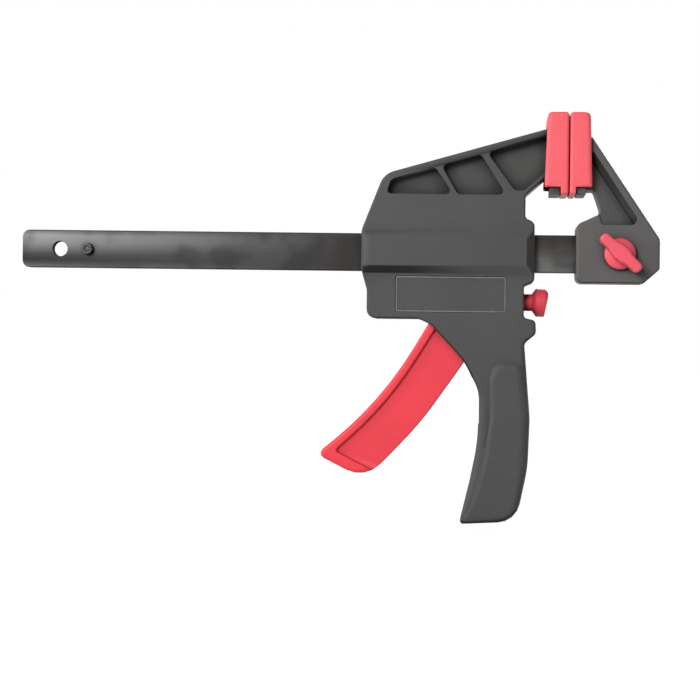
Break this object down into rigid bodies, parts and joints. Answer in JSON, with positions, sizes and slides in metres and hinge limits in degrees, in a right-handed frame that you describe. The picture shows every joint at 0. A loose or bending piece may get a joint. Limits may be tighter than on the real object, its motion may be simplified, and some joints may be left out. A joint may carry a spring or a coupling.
{
  "type": "quick release bar clamp",
  "caption": "One-handed bar clamp: pistol-grip sliding jaw with squeeze trigger and release button on a flat steel bar, and a fixed jaw held by a wing knob, both with slip-on pads.",
  "frame": {"origin": "centre of the clamping plane, midway between the two closed pads, 55 mm above the axis of the bar", "axes": "+X along the bar towards the fixed jaw, +Z from the bar up to the pads, -Y towards the side that carries the wing knob"},
  "size_m": [0.3547, 0.0406, 0.2276],
  "materials": {
    "steel_bar": "blackened, faintly brushed",
    "grey_plastic": "fine matte grain",
    "pad_rubber": "soft, smooth",
    "zinc_steel": "bright zinc",
    "red_plastic": "semi-gloss",
    "spring_steel": "drawn wire"
  },
  "bodies": {
    "bar_assembly": {"bar": "steel_bar", "free_end_stop_pin": "steel_bar", "jaw_end_stop_pin": "steel_bar", "fixed_jaw": "grey_plastic", "fixed_pad": "pad_rubber", "jaw_nut": "zinc_steel"},
    "sliding_jaw": {"front_shell": "grey_plastic", "back_shell": "grey_plastic", "shell_screws": "zinc_steel", "movable_pad": "pad_rubber", "trigger_pin": "zinc_steel", "drive_spring": "spring_steel", "brake_spring": "spring_steel"},
    "trigger_lever": {"trigger": "red_plastic"},
    "drive_plates": {"drive_plate_near": "zinc_steel", "drive_plate_far": "zinc_steel", "drive_spring_seat": "zinc_steel"},
    "brake": {"brake_plate": "zinc_steel"},
    "button": {"release_button": "red_plastic"},
    "washer": {"knob_washer": "zinc_steel"},
    "knob": {"wing_knob": "red_plastic", "knob_stud": "zinc_steel"}
  },
  "joints": [
    {"name": "jaw_slide", "type": "slide", "parent": "bar_assembly", "child": "sliding_jaw", "axis": [-1, 0, 0], "range_m": [0, 0.15]},
    {"name": "trigger_squeeze", "type": "hinge", "parent": "sliding_jaw", "child": "trigger_lever", "pos_m": [-0.0521, 0, -0.0835], "axis": [0, -1, 0], "range_deg": [0, 24], "stiffness_Nm_per_rad": 0.12, "springref_deg": -48.13},
    {"name": "drive_feed", "type": "slide", "parent": "sliding_jaw", "child": "drive_plates", "axis": [-1, 0, 0], "range_m": [0, 0.00545], "deforming": ["drive_spring"]},
    {"name": "button_press", "type": "slide", "parent": "sliding_jaw", "child": "button", "axis": [-1, 0, 0], "range_m": [0, 0.0042], "stiffness_N_per_m": 600, "springref_m": -0.006},
    {"name": "brake_release", "type": "hinge", "parent": "sliding_jaw", "child": "brake", "pos_m": [-0.03623, 0, -0.038], "axis": [0, 1, 0], "range_deg": [0, 5.6], "deforming": ["brake_spring"]},
    {"name": "knob_lift", "type": "slide", "parent": "bar_assembly", "child": "washer", "axis": [0, -1, 0], "range_m": [0, 0.0053]},
    {"name": "knob_turn", "type": "hinge", "parent": "washer", "child": "knob", "pos_m": [0.0284, 0, -0.055], "axis": [0, -1, 0], "range_deg": [0, 1530]}
  ],
  "couplings": [
    {"joint": "drive_feed", "follows": "trigger_squeeze", "m_per_rad": 0.012905},
    {"joint": "brake_release", "follows": "button_press", "rad_per_m": 22.86},
    {"joint": "knob_turn", "follows": "knob_lift", "rad_per_m": 5026.5}
  ]
}
